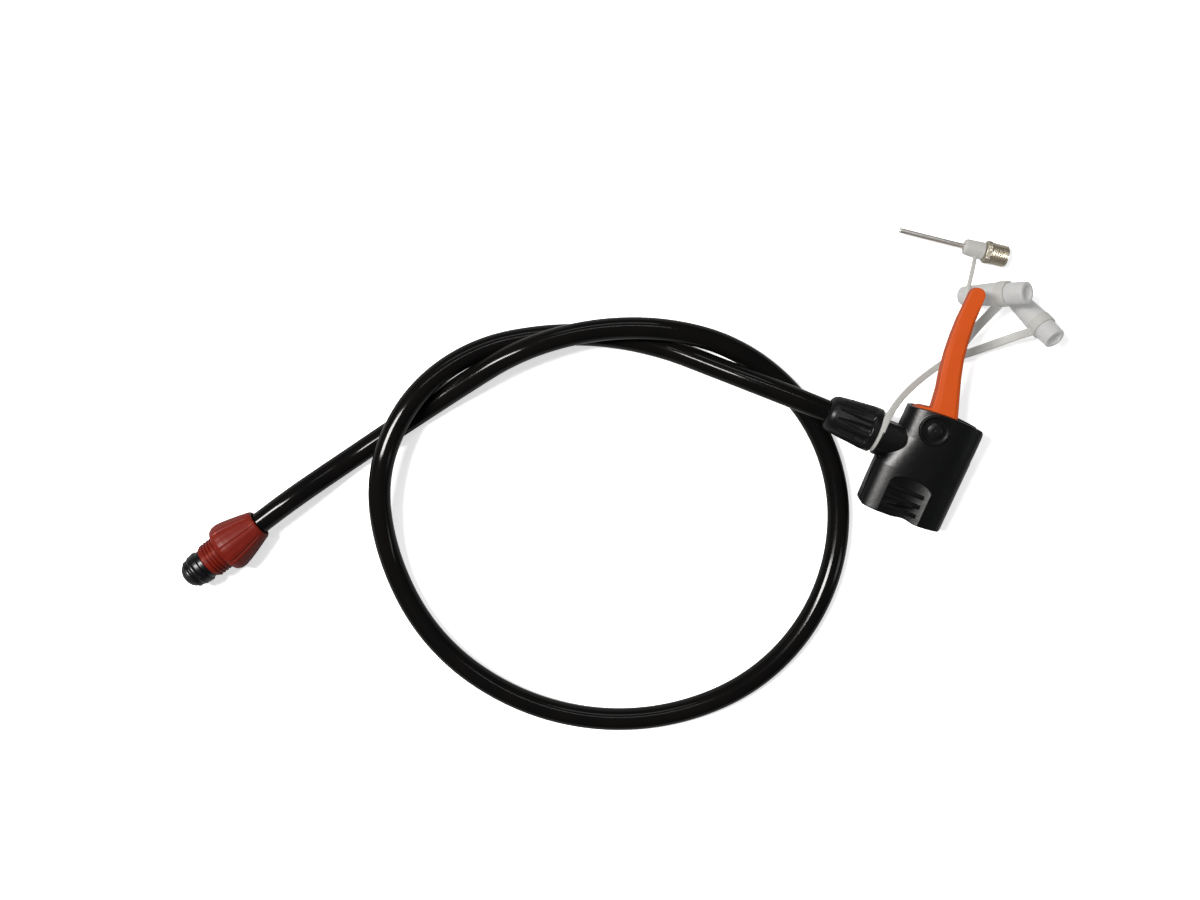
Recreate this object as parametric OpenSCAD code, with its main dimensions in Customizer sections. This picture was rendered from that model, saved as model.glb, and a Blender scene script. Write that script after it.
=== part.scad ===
// Floor pump hose with a lever-lock valve head, a screw-in pump fitting and a
// tether that carries two inflator nozzles and a ball needle.
// The hose lies on a flat surface in one open overhand loop.
// +X runs from the pump fitting towards the valve head, +Z is up from the surface at Z = 0.

/* [Hose] */
// Outside diameter of the hose
hose_od = 7.8; // [7:0.1:8]
// Bore of the hose
hose_id = 5; // [4:0.1:5.4]
// Flats round the hose section
hose_sides = 14; // [10:2:18]
// Spacing of the rings along the hose
hose_step = 7; // [6:1:12]
// Axis height where the hose lies on the surface
z_low = 4.1; // [4.05:0.05:4.3]
// Axis height where the hose rides over itself, and at the valve head
z_high = 12.9; // [12.4:0.1:13.2]
// Axis height at the pump fitting
z_pump = 9; // [9:0.1:10]

/* [Hose run] */
// Heading of the hose as it leaves the pump fitting, degrees from +X
run_heading = 37.3; // [36:0.1:38]
// Length of the nearly straight tail
run1_len = 97; // [95:0.5:99]
// Turn over the tail
run1_turn = -6.7; // [-7.7:0.1:-5.7]
// Length of the upper left bend, where the hose crosses over itself
run2_len = 77; // [75:0.5:79]
// Turn of the upper left bend
run2_turn = -43.8; // [-44.8:0.1:-42.8]
// Length of the upper right bend
run3_len = 89; // [87:0.5:91]
// Turn of the upper right bend
run3_turn = -78.1; // [-79.1:0.1:-77.1]
// Length of the right side of the loop
run4_len = 81; // [79:0.5:83]
// Turn of the right side
run4_turn = -65; // [-66:0.1:-64]
// Length of the bottom of the loop
run5_len = 94; // [92:0.5:96]
// Turn of the bottom
run5_turn = -60.3; // [-61.3:0.1:-59.3]
// Length of the lower left of the loop
run6_len = 68; // [66:0.5:70]
// Turn of the lower left
run6_turn = -50.6; // [-51.6:0.1:-49.6]
// Length of the left side, rising to the first crossing
run7_len = 82.5; // [80.5:0.5:84.5]
// Turn of the left side
run7_turn = -81.5; // [-82.5:0.1:-80.5]
// Length of the bend that tucks under the other strand
run8_len = 64.5; // [62.5:0.5:66.5]
// Turn of that bend
run8_turn = -33.7; // [-34.7:0.1:-32.7]
// Length of the straight run into the valve head
run9_len = 53.5; // [51.5:0.5:55.5]
// Turn of that run
run9_turn = 0.4; // [-0.6:0.1:1.4]

/* [Pump fitting] */
// Largest radius of the nut's grip
nut_r = 9; // [8.5:0.1:9]
// Radius of the nut round its hose mouth
nut_mouth_r = 5.5; // [5.3:0.1:5.7]
// Crest radius of the nut's male thread
thread_r = 6.4; // [6.2:0.05:6.5]
// Pitch of that thread
thread_pitch = 1.25; // [1.2:0.05:1.3]
// Radius of the plug's sealing land
plug_r = 5.95; // [5.85:0.05:6.05]
// Radius of the plug's air passage
plug_bore_r = 1.5; // [1:0.1:1.8]

/* [Valve head] */
// Tilt of the head about its neck, lever end up
head_tilt = 11; // [9:0.5:11]
// Distance from the collar's hose end to the barrel's centre line
neck_len = 34.8; // [34:0.5:36]
// Half width of the oval barrel
barrel_hw = 15.6; // [15.2:0.1:15.8]
// Half thickness of the oval barrel
barrel_ht = 8.2; // [8:0.1:8.2]
// Radius of the bore for the seal and plunger
barrel_bore_r = 5.6; // [5.5:0.05:5.7]
// Radius of the valve hole in the bottom cap
valve_hole_r = 4.2; // [4.1:0.05:4.4]
// Distance of the lever pivot from the neck axis
pivot_y = 8.4; // [8.3:0.1:8.5]
// Offset of the lever pivot from the barrel's centre line
pivot_x = -1.8; // [-1.9:0.1:-1.7]
// Radius of the pivot pin
pin_r = 2; // [1.8:0.1:2.2]
// Radius of the collar nut at the head end
collar_r = 7.9; // [7.7:0.1:8]
// Radius of the collar nut at the hose end
collar_tail_r = 6.45; // [6.3:0.05:6.6]

/* [Lever] */
// Thickness of the lever at its base
lever_t = 7; // [6.6:0.1:7]
// Thickness of the lever at its tip
lever_tip_t = 4; // [3.6:0.1:4.4]
// Width of the lever where it leaves the head
lever_w = 10.2; // [9.8:0.1:10.6]
// Radius of the lever's rounded tip
lever_tip_r = 2.6; // [2.4:0.1:2.8]
// How far the lever's cam pushes the plunger
cam_lift = 2.4; // [2:0.1:2.6]

/* [Tether] */
// Width of the strap
strap_w = 2.8; // [2.4:0.1:3.2]
// Thickness of the strap
strap_t = 1.2; // [1:0.1:1.4]

/* [Nozzles] */
// Length of the long nozzle
nozzle_a_len = 26.3; // [26:0.1:26.5]
// Length of the short nozzle
nozzle_b_len = 23.5; // [23:0.1:23.8]
// Radius of a nozzle's plain rear end
nozzle_r = 3.85; // [3.8:0.05:3.9]
// Radius of a nozzle's tip
nozzle_tip_r = 3.4; // [3.2:0.1:3.6]
// Radius of the hole in a nozzle's rear end
nozzle_bore_r = 2.6; // [2.2:0.1:2.8]
// Slope of the long nozzle above the surface
nozzle_a_rise = 50; // [48:1:50]
// Slope of the short nozzle above the surface
nozzle_b_rise = 36; // [34:1:36]

/* [Needle] */
// Radius of the needle's tube
needle_r = 0.93; // [0.9:0.01:0.95]
// Bore radius of the needle's tube
needle_bore_r = 0.55; // [0.4:0.05:0.6]
// Radius of the needle's screw thread
needle_thread_r = 3.85; // [3.8:0.05:3.9]
// Radius of the needle's knurled flange
needle_flange_r = 4; // [3.95:0.05:4.05]
// Overall length of the needle
needle_len = 39.4; // [39:0.1:40]

/* [Hidden] */

facets = 72;        // round turned parts
run_start = [-119.83, -25.42];
assembly_shift = [-6.867, 10.282, 0];
rest_gap = 0.1;     // under the loose parts

// ---- Hose path ----

run_len = [run1_len, run2_len, run3_len, run4_len, run5_len, run6_len, run7_len, run8_len,
    run9_len];
run_turn = [run1_turn, run2_turn, run3_turn, run4_turn, run5_turn, run6_turn, run7_turn,
    run8_turn, run9_turn];
run_count = len(run_len);

// Distance along the hose to the start of a bend
function run_before(count) = count <= 0 ? 0 : run_len[count - 1] + run_before(count - 1);
run_total = run_before(run_count);

// End of one bend from its start [x, y, heading], by arc length and turn
function bend(start, length, turn) =
    let (heading = start[2] + turn / 2,
        chord = abs(turn) < 0.01 ? length : length * sin(turn / 2) / (turn / 2 * PI / 180))
    [start[0] + chord * cos(heading), start[1] + chord * sin(heading), start[2] + turn];
function bend_start(i) = i == 0 ? [run_start[0], run_start[1], run_heading]
    : bend(bend_start(i - 1), run_len[i - 1], run_turn[i - 1]);
bend_starts = [for (i = [0:run_count]) bend_start(i)];
function bend_index(along, i = 0) =
    i >= run_count - 1 || along <= run_before(i + 1) ? i : bend_index(along, i + 1);

// Plan position and heading at a distance along the hose, straight beyond both ends
function plan_at(along) = along < 0 ? bend(bend_starts[0], along, 0)
    : along > run_total ? bend(bend_starts[run_count], along - run_total, 0)
    : let (i = bend_index(along), part = along - run_before(i))
        bend(bend_starts[i], part, run_turn[i] * part / run_len[i]);

// Where the hose changes height: [distance along it, axis height]
levels = [[-100, z_pump], [8, z_pump], [44, z_low], [63, z_low], [116, z_high], [151, z_high],
    [215, z_low], [474, z_low], [525, z_high], [541, z_high], [596, z_low], [632, z_low],
    [695, z_high], [run_total + 100, z_high]];
function level_index(along, i = 0) = along <= levels[i + 1][0] ? i : level_index(along, i + 1);
// Smooth cosine ramp between levels
function height_at(along) =
    let (i = level_index(along), from = levels[i], to = levels[i + 1],
        part = (along - from[0]) / (to[0] - from[0]))
    from[1] + (to[1] - from[1]) * (1 - cos(180 * part)) / 2;
function point_at(along) = let (plan = plan_at(along)) [plan[0], plan[1], height_at(along)];

// ---- Sweeps ----

// Local axes at a point of a path: along it, level across it, and square to both
function unit(v) = v / norm(v);
function path_dir(path, i) = unit(path[min(i + 1, len(path) - 1)] - path[max(i - 1, 0)]);
function path_side(path, i) = unit(cross([0, 0, 1], path_dir(path, i)));
function path_up(path, i) = cross(path_dir(path, i), path_side(path, i));

// A hollow tube along a path
module tube_along(path, outer_r, inner_r, sides) {
    last = len(path) - 1;
    function ring(i, r) = let (side = path_side(path, i), up = path_up(path, i))
        [for (k = [0:sides - 1]) let (a = 360 * (k + 0.5) / sides)
            path[i] + r * (cos(a) * side + sin(a) * up)];
    outer = [for (i = [0:last]) each ring(i, outer_r)];
    inner = [for (i = [0:last]) each ring(i, inner_r)];
    m = len(outer);     // first inner point
    e = last * sides;   // first point of the last outer ring
    polyhedron(points = concat(outer, inner), faces = concat(
        [for (i = [0:last - 1]) for (k = [0:sides - 1])
            let (j = (k + 1) % sides, here = i * sides, next = here + sides)
            each [[here + k, next + k, next + j, here + j],
                [m + here + k, m + here + j, m + next + j, m + next + k]]],
        [for (k = [0:sides - 1]) let (j = (k + 1) % sides)
            each [[k, j, m + j, m + k], [e + k, m + e + k, m + e + j, e + j]]]),
        convexity = 10);
}

// A flat strap along a path
module strap_along(path, width, thickness) {
    count = len(path);
    points = [for (i = [0:count - 1]) each [for (corner = [[-1, -1], [1, -1], [1, 1], [-1, 1]])
        path[i] + corner[0] * width / 2 * path_side(path, i)
            + corner[1] * thickness / 2 * path_up(path, i)]];
    polyhedron(points = points, faces = concat([[0, 1, 2, 3]],
        [for (i = [0:count - 2]) for (k = [0:3]) let (j = (k + 1) % 4)
            [4 * i + k, 4 * i + 4 + k, 4 * i + 4 + j, 4 * i + j]],
        [[4 * count - 1, 4 * count - 2, 4 * count - 3, 4 * count - 4]]), convexity = 6);
}

// Points along a cubic Bezier curve with four guide points
function curve(guides, steps) = [for (i = [0:steps]) let (t = i / steps, u = 1 - t)
    u * u * u * guides[0] + 3 * u * u * t * guides[1]
        + 3 * u * t * t * guides[2] + t * t * t * guides[3]];

// ---- Turned shapes ----

// A profile lists [distance along the axis, radius]
module spin(profile) rotate_extrude($fn = facets) polygon([for (p = profile) [p[1], p[0]]]);
module turn_x(profile) rotate([0, 90, 0]) spin(profile);
module turn_y(profile) rotate([-90, 0, 0]) spin(profile);
module turn_z(profile) spin(profile);
module rod_x(x0, x1, r)
    translate([x0, 0, 0]) rotate([0, 90, 0]) cylinder(h = x1 - x0, r = r, $fn = facets);
module rod_y(y0, y1, r)
    translate([0, y0, 0]) rotate([-90, 0, 0]) cylinder(h = y1 - y0, r = r, $fn = facets);
module rod_z(z0, z1, r) translate([0, 0, z0]) cylinder(h = z1 - z0, r = r, $fn = facets);
// O-ring about Z, by the radius of its centre line and of its section
module oring(centre_r, section_r)
    rotate_extrude($fn = facets) translate([centre_r, 0]) circle(r = section_r, $fn = 32);
module oring_x(x, centre_r, section_r)
    translate([x, 0, 0]) rotate([0, 90, 0]) oring(centre_r, section_r);
module oring_y(y, centre_r, section_r)
    translate([0, y, 0]) rotate([-90, 0, 0]) oring(centre_r, section_r);
function middle(span) = (span[0] + span[1]) / 2;

// ---- Frames ----

module place() translate(assembly_shift) children();
// Pump fitting: on the hose axis, +X runs outwards from the nut's hose mouth
module at_pump() place() translate([run_start[0], run_start[1], z_pump])
    rotate([0, 0, run_heading + 180]) children();
// Head: origin on the neck axis in the barrel, +X away from the hose,
// +Y up the barrel to the lever, +Z through its thickness
head_origin = bend(bend_starts[run_count], neck_len, 0);
module at_head() place() translate([head_origin[0], head_origin[1], z_high])
    rotate([0, 0, head_origin[2]]) rotate([head_tilt, 0, 0]) children();
// Within the head: the bore's axis, and the lever's pivot
bore_x = 0.15;
module on_bore() translate([bore_x, 0, 0]) children();
module on_pivot() translate([pivot_x, pivot_y, 0]) children();

// ---- Hose and pump fitting ----

hose_r = hose_od / 2;
hose_back = 12;     // hose inside the pump fitting, behind the run's start
hose_ahead = 10;    // hose inside the valve head, past the run's end
hose_spans = ceil((run_total + 24) / hose_step);

module hose() color("#0c0c0e") place()
    tube_along([for (i = [0:hose_spans])
        point_at(-hose_back + (run_total + hose_back + hose_ahead) * i / hose_spans)],
        hose_r, hose_id / 2, hose_sides);

nut_mouth_bore_r = 4.4;
nut_bore_r = 4.65;
thread_root_r = thread_r - 0.7;
thread_x = 17.5;
grip_grooves = 9;
groove_side = 0.7;

// Grip cone with flats between V grooves, then a male thread of ring lands
module pump_nut() color("#6e1a12") at_pump() difference() {
    union() {
        turn_x([[0.9, nut_mouth_bore_r], [0.9, 5], [1.5, nut_mouth_r], [3, 6], [5, 6.7],
            [8, 7.65], [11, 8.5], [13.4, nut_r], [15, nut_r - 0.1], [16.2, 8.35], [17.6, 5.6],
            [17.6, nut_bore_r], [13, nut_bore_r], [13, nut_mouth_bore_r]]);
        rod_x(17, 23.2, thread_root_r);
        turn_x([[22.4, nut_mouth_bore_r], [22.4, thread_r - 0.5], [23.3, thread_r - 0.6],
            [23.7, thread_r - 1], [23.7, nut_mouth_bore_r]]);
        for (i = [0:3]) {
            x = thread_x + i * thread_pitch;
            turn_x([[x, 4.8], [x, thread_root_r], [x + 0.3, thread_r], [x + 0.8, thread_r],
                [x + 1.1, thread_root_r], [x + 1.1, 4.8]]);
        }
    }
    rod_x(-1, 3, nut_mouth_bore_r);
    rod_x(2.5, 30, nut_bore_r);
    // V grooves follow the grip's slope, each cut by a bar on its edge
    for (i = [0:grip_grooves - 1]) rotate([(i + 0.5) * 360 / grip_grooves, 0, 0])
        translate([2, 0, 6.15]) rotate([0, -10.5, 0]) rotate([45, 0, 0])
            translate([0, -groove_side / 2, -groove_side / 2])
                cube([22, groove_side, groove_side]);
}

// O-ring grooves in the plug: [start, end]
rear_groove = [27.2, 29];
front_groove = [29.4, 31.1];

// Barbed tail in the hose, flange in the nut, then the sealing land and two grooves
module pump_plug() color("#101114") at_pump() difference() {
    turn_x([[3.4, plug_bore_r], [3.4, 2.3], [5.2, 2.7], [5.6, 2.4], [7.6, 2.7], [8, 2.4],
        [10, 2.7], [10.4, 2.4], [12.1, 2.4], [12.1, 4.6], [23.85, 4.6], [23.85, 5.4],
        [25.2, 5.4], [25.5, plug_r], [rear_groove[0], plug_r], [rear_groove[0], 4.07],
        [rear_groove[1], 4.07], [rear_groove[1], 5.35], [front_groove[0], 5.35],
        [front_groove[0], 3.62], [front_groove[1], 3.62], [front_groove[1], 4.65],
        [31.8, 4.2], [32.5, 3.5], [33.1, 2.4], [33.2, plug_bore_r]]);
    rod_x(0, 40, plug_bore_r);
}

module plug_oring_rear() color("#16171a") at_pump() oring_x(middle(rear_groove), 4.95, 0.85);
module plug_oring_front() color("#16171a") at_pump() oring_x(middle(front_groove), 4.45, 0.8);

// Crimp sleeve over the hose end, inside the nut
module pump_ferrule() color("#b89b55") at_pump()
    turn_x([[3, hose_r], [3, 4.55], [3.3, 4.6], [11.8, 4.6], [12.05, 4.5], [12.05, hose_r]]);

// ---- Valve head ----

upper_hw = 14;      // half width of the barrel above the neck
// The upper barrel keeps the lower one's +X side
upper_x = bore_x + barrel_hw - upper_hw;
neck_boss_r = 7.9;
spigot_r = 5.4;
air_r = 1.3;        // passages in the head
port_y = -10;       // height of the cross holes in head and plunger

// Barrel outline in X and Y, crowned at both ends
function crown(x, top_x, top_y, r) = top_y + sqrt(r * r - (x - top_x) * (x - top_x)) - r;
// The thumb scoop runs out through a shallow dip in the bottom edge
function dip(x) = abs(x - 1) < 4.5 ? 0.35 * (1 + cos(40 * (x - 1))) : 0;
module barrel_outline() polygon(concat(
    [[-14.3, -24.6], [-14.9, -23.6], [-15.3, -14], [-15.45, -8], [-13, -6.8], [-12.6, -4],
        [-12.6, 12], [-12.2, 12.8]],
    [for (i = [0:12]) let (x = -11.6 + 25.4 * i / 12) [x, crown(x, 4, 14.5, 80)]],
    [[14.6, 13.2], [15.05, 12], [15.5, 0], [15.8, -16], [15.75, -23], [15.2, -24.1]],
    [for (i = [0:24]) let (x = 14.6 - 28.2 * i / 24) [x, dip(x) - crown(x, -6, 25.1, 300)]]));

// Squarish oval cross-section, extruded up the barrel from y
function squared(v) = sign(v) * pow(abs(v), 0.7);
module barrel_part(y, length, x, half_w)
    translate([0, y, 0]) rotate([-90, 0, 0]) linear_extrude(length) translate([x, 0])
        polygon([for (i = [0:119]) [half_w * squared(cos(i * 3)), barrel_ht * squared(sin(i * 3))]]);

// Full width below the neck, narrower on the hose side above it, blended between
module barrel() intersection() {
    translate([0, 0, -12]) linear_extrude(24) barrel_outline();
    union() {
        barrel_part(-30, 21.5, bore_x, barrel_hw);
        barrel_part(3, 30, upper_x, upper_hw);
        hull() {
            barrel_part(-8.7, 0.2, bore_x, barrel_hw);
            barrel_part(3, 0.2, upper_x, upper_hw);
        }
    }
}

// Oval boss, flattened on its +Y side
module neck_boss() translate([-17.4, 0, 0]) rotate([90, 0, 90]) linear_extrude(11.4)
    intersection() {
        polygon([for (i = [0:47]) [neck_boss_r * cos(i * 7.5), 7.1 * sin(i * 7.5)]]);
        translate([-10, -10]) square([15, 20]);
    }

// Slot for the lever, closed on the hose side and open on the far side
module lever_slot() translate([0, 0, -lever_t / 2 - 0.1]) linear_extrude(lever_t + 0.2) {
    polygon([[-10.8, 8], [-10.8, 30], [20, 30], [20, 3.6], [8, -0.8], [-1.8, -0.8], [-8, 2.5]]);
    translate([pivot_x, pivot_y]) circle(r = 9.05, $fn = facets);
}

// From the neck round to the side of the bore
module air_passages() {
    rod_x(-30, -12, 2.5);
    rod_x(-14, -9.8, air_r);
    translate([-11.1, 0, 0]) rod_y(-11.3, 0, air_r);
    translate([0, port_y, 0]) rod_x(-12.4, -5, air_r);
}

scoop_mid_x = -0.8;
scoop_hw = 7.6;
scoop_floor_z = 6.4;
scoop_dish_r = 22;

// Scoop outline: straight sides, arched top, open at the bottom edge
module scoop_outline() polygon(concat(
    [[scoop_mid_x + scoop_hw, -30], [scoop_mid_x + scoop_hw, -13.6]],
    [for (i = [0:16]) let (across = 1 - i / 8)
        [scoop_mid_x + scoop_hw * across, -13.2 + 3.1 * sqrt(max(0, 1 - pow(across, 2)))]],
    [[scoop_mid_x - scoop_hw, -30]]));

// Dished thumb scoop on the +Z or -Z face, less three flat ribs left standing in it
module scoop(face) intersection() {
    translate([0, 0, face * 10 - 4]) linear_extrude(8) scoop_outline();
    difference() {
        translate([-1.8, -30, face * (scoop_floor_z + scoop_dish_r)]) rotate([-90, 0, 0])
            cylinder(h = 25, r = scoop_dish_r, $fn = 180);
        for (i = [0:2])
            translate([-12, -15.45 - 3.5 * i, face * scoop_floor_z - 1]) cube([24, 1.2, 2]);
    }
}

module head_body() color("#121316") at_head() difference() {
    union() {
        barrel();
        neck_boss();
        // spigot for the collar nut
        rod_x(-23.9, -17, spigot_r);
        // round bosses at both ends of the pivot
        on_pivot() rod_z(-8.6, 8.6, 5.3);
    }
    // recesses round the pin's ends
    for (face = [-1, 1]) on_pivot() rod_z(face * 8.4 - 0.6, face * 8.4 + 0.6, 4.4);
    on_pivot() rod_z(-12, 12, pin_r + 0.03);
    // bore for the seal and the plunger, widened at its mouth
    on_bore() rod_y(-30, -0.7, barrel_bore_r);
    on_bore() rod_y(-30, -23.2, barrel_bore_r + 0.4);
    // guide for the plunger's top, up into the lever slot
    on_bore() rod_y(-1.5, 3, 3.58);
    lever_slot();
    air_passages();
    for (face = [-1, 1]) scoop(face);
}

collar_bore_r = 4.15;
collar_flutes = 12;

module collar_nut() color("#17181b") at_head() difference() {
    turn_x([[-37, collar_bore_r], [-37, 4.9], [-36.6, 5.5], [-36, 6], [-35, collar_tail_r],
        [-30, 7.1], [-26, 7.5], [-22.4, collar_r], [-18.9, collar_r], [-18.9, collar_bore_r]]);
    rod_x(-40, -18, collar_bore_r);
    rod_x(-25.9, -18, spigot_r + 0.05);
    // grip flutes
    for (i = [0:collar_flutes - 1]) rotate([i * 360 / collar_flutes + 1, 0, 0])
        translate([-32.5, 0, 8.9]) rotate([0, 86.5, 0]) cylinder(h = 10.6, r = 1.9, $fn = 36);
}

nipple_bore_r = 1.4;

// Barbed nipple that joins the hose to the neck
module hose_nipple() color("#b89b55") at_head() difference() {
    turn_x([[-34, nipple_bore_r], [-34, 2.2], [-32, 2.7], [-31.6, 2.35], [-29.6, 2.7],
        [-29.2, 2.35], [-27.2, 2.7], [-26.8, 2.35], [-24.75, 2.35], [-24.75, 4],
        [-23.95, 4], [-23.95, 2.48], [-14, 2.48], [-14, nipple_bore_r]]);
    rod_x(-36, -13, nipple_bore_r);
}

// Bush that closes the barrel and guides the tyre valve
cap_r = barrel_bore_r - 0.02;
module gland_cap() color("#141518") at_head() on_bore() difference() {
    turn_y([[-24.2, valve_hole_r], [-24.2, 5.7], [-24, 5.95], [-23.25, 5.95],
        [-23.25, cap_r], [-21.6, cap_r], [-21.6, valve_hole_r]]);
    rod_y(-30, -20, valve_hole_r);
}

// Rubber seal that grips the valve
gland_r = barrel_bore_r - 0.1;
module valve_gland() color("#2a2a2c") at_head() on_bore()
    turn_y([[-21.58, 4], [-21.58, gland_r], [-13.4, gland_r], [-13.4, 2.9], [-16.6, 2.9],
        [-17.4, 4]]);

washer_r = barrel_bore_r - 0.15;
module gland_washer() color("#c9c9c4") at_head() on_bore()
    turn_y([[-13.38, 2.4], [-13.38, washer_r], [-12.5, washer_r], [-12.5, 2.4]]);

plunger_r = barrel_bore_r - 0.05;
plunger_groove = [-6.95, -5.05];

// Plunger between the lever's cam and the seal, with a cross hole
module plunger() color("#d8d8d2") at_head() on_bore() difference() {
    turn_y([[-12.3, 1.5], [-12.3, 4.3], [-8.6, 4.3], [-8.6, plunger_r],
        [plunger_groove[0], plunger_r], [plunger_groove[0], 4.4], [plunger_groove[1], 4.4],
        [plunger_groove[1], plunger_r], [-3.3, plunger_r], [-3.3, 3.5], [-0.55, 3.5],
        [-0.55, 0], [-7.9, 0], [-7.9, 1.5]]);
    for (x = [-7, 0]) translate([x, port_y, 0]) rod_x(0, 7, 0.8);
}
module plunger_oring() color("#2a2a2c") at_head() on_bore()
    oring_y(middle(plunger_groove), 4.99, 0.55);

// Pin that opens the core of a car-type valve
module core_pin() color("#b8b8b4") at_head() on_bore()
    turn_y([[-16, 0], [-16, 0.5], [-15.6, 0.8], [-8.9, 0.8], [-8.9, 1.49], [-7.92, 1.49],
        [-7.92, 0]]);

// ---- Lever, drawn from the pivot with +Y towards its tip ----

lever_root_y = 4;
lever_end_y = 47.5;
cam_top_r = 8.7;
relief_x = 6.3;     // +X edge of the lever beside the pivot

// [distance up from the pivot, half width]
half_widths = [[4, lever_w / 2 - 0.1], [7, lever_w / 2 - 0.4], [13, 4.05], [26, 3.35],
    [38, 2.95], [44, lever_tip_r + 0.1], [lever_end_y, lever_tip_r]];
// [distance up from the pivot, X of the lever's centre line]
bows = [[4, 2.4], [7, 1.9], [13, 0.4], [19, -1.4], [26, -3], [32, -3.8], [38, -4.3],
    [lever_end_y, -4.4]];
function lever_edge(side, i) = let (y = lever_root_y + (lever_end_y - lever_root_y) * i / 14)
    [lookup(y, bows) + side * lookup(y, half_widths), y];
// Cam radius at an angle round the pivot, full up to -90 degrees and falling towards +X
function cam_r(angle) = angle <= -90 ? cam_top_r : cam_top_r - cam_lift * (angle + 90) / 90;

module lever_outline() {
    // relieved low on the +X side, so that the folded lever clears the plunger
    difference() {
        polygon(concat([for (i = [0:14]) lever_edge(1, i)],
            [for (i = [14:-1:0]) lever_edge(-1, i)]));
        translate([relief_x, 0]) square([5, 5.7]);
    }
    translate([lookup(lever_end_y, bows), lever_end_y]) circle(r = lever_tip_r, $fn = 48);
    // cam and hub
    polygon(concat([for (i = [0:26]) let (a = -130 + 5 * i) cam_r(a) * [cos(a), sin(a)]],
        [[relief_x, 2], [relief_x, 5.6], [-2, 6.6], [-6.6, 5.8], [-8.6, 4.4], [-8.75, 1],
            [-7.6, -3]]));
}

// Thickness in Y and Z: full at the head, thinner towards the tip
module lever_side() polygon([[-12, -lever_t / 2], [8, -lever_t / 2], [52, -lever_tip_t / 2],
    [52, lever_tip_t / 2], [8, lever_t / 2], [-12, lever_t / 2]]);

module lever() color("#c8501c") at_head() on_pivot() difference() {
    intersection() {
        translate([0, 0, -lever_t / 2]) linear_extrude(lever_t) lever_outline();
        translate([-15, 0, 0]) rotate([90, 0, 90]) linear_extrude(30) lever_side();
    }
    rod_z(-10, 10, pin_r + 0.05);
}

pin_head_r = 2.85;
// Pin with a domed head on the +Z face
module pivot_pin() color("#1a1b1e") at_head() on_pivot() {
    rod_z(-9, 8, pin_r);
    turn_z([[7.9, 0], [7.9, pin_head_r], [8.3, pin_head_r], [8.7, 2.4], [8.95, 1.4], [9.05, 0]]);
}
// Ring round the pin on the -Z face
module pivot_retainer() color("#1a1b1e") at_head() on_pivot()
    turn_z([[-7.9, pin_r], [-7.9, pin_head_r], [-8.3, pin_head_r], [-8.7, 2.6], [-8.8, pin_r]]);

// ---- Tether, nozzles and needle ----

// Where each loose part's tip lies, and its heading in plan
needle_tip = [107.2, 78.6, needle_flange_r + rest_gap];
needle_heading = -14;
nozzle_a_tip = [129.8, 55.3, nozzle_tip_r * cos(nozzle_a_rise) + rest_gap];
nozzle_a_heading = -4.5;
nozzle_b_tip = [148.5, 54.9, nozzle_tip_r * cos(nozzle_b_rise) + rest_gap];
nozzle_b_heading = -59.5;
// Distance from each nozzle's tip to the middle of its tether ring
nozzle_a_seat = 17.2;
nozzle_b_seat = 15.8;
seat_half = 1.9;    // half width of that ring
groove_r = nozzle_r - 0.2;
nozzle_tip_bore_r = 2;

// Frames of the loose parts: origin at the tip, +X towards the rear end
module at_needle() place() translate(needle_tip) rotate([0, 0, needle_heading]) children();
module at_nozzle_a() place() translate(nozzle_a_tip)
    rotate([0, -nozzle_a_rise, nozzle_a_heading]) children();
module at_nozzle_b() place() translate(nozzle_b_tip)
    rotate([0, -nozzle_b_rise, nozzle_b_heading]) children();

module seat_ring(seat) rod_x(seat - seat_half, seat + seat_half, 4.5);
// Space for a nozzle in its ring, in front of the ring and behind it
module nozzle_room(length, seat) {
    rod_x(seat - 6, seat + 6, groove_r + 0.05);
    rod_x(-2, seat - seat_half - 0.04, 4.4);
    rod_x(seat + seat_half + 0.04, length + 2, nozzle_r + 0.1);
}

// Where the strap parts into its three branches
fork = [126.9, 34, 4.5];

module straps() place() {
    // head ring to fork
    strap_along(curve([[97.2, 6.3, 19.9], [101.6, 17.3, 19.5], [110.4, 23.6, 8], fork], 14),
        strap_w - 0.4, strap_t);
    // short nozzle
    strap_along(curve([fork + [-1, -0.8, 0], [133, 34.3, 3.5], [146, 40.3, 5],
        [151.4, 41.5, 12.7]], 12), strap_w + 0.2, strap_t);
    // long nozzle
    strap_along(curve([fork + [-0.5, -1.2, 0.05], [130.7, 40.2, 4], [136.2, 46.7, 10],
        [139.6, 51.1, 14.2]], 10), strap_w + 0.4, strap_t);
    // needle
    strap_along(curve([fork + [0, -1.2, -0.05], [128, 46, 4], [129.5, 60, 16.5],
        [134.2, 69.6, 4.1]], 14), 1.5, 1.1);
}

module tether() color("#d9d9d2") difference() {
    union() {
        at_head() rod_x(-18.75, -17.5, 7.2);
        straps();
        at_nozzle_a() seat_ring(nozzle_a_seat);
        at_nozzle_b() seat_ring(nozzle_b_seat);
        at_needle() turn_x([[23.6, 0.5], [23.6, 2.2], [24.2, 2.8], [30.9, 3.1], [30.9, 0.5]]);
    }
    at_head() rod_x(-20, -16, spigot_r + 0.1);
    // room for the collar, the neck's boss and the barrel
    at_head() rod_x(-38, -18.8, collar_r + 0.1);
    at_head() rod_x(-17.45, 0, neck_boss_r + 0.1);
    at_nozzle_a() nozzle_room(nozzle_a_len, nozzle_a_seat);
    at_nozzle_b() nozzle_room(nozzle_b_len, nozzle_b_seat);
    at_needle() rod_x(20, 34, needle_r + 0.06);
}

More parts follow.
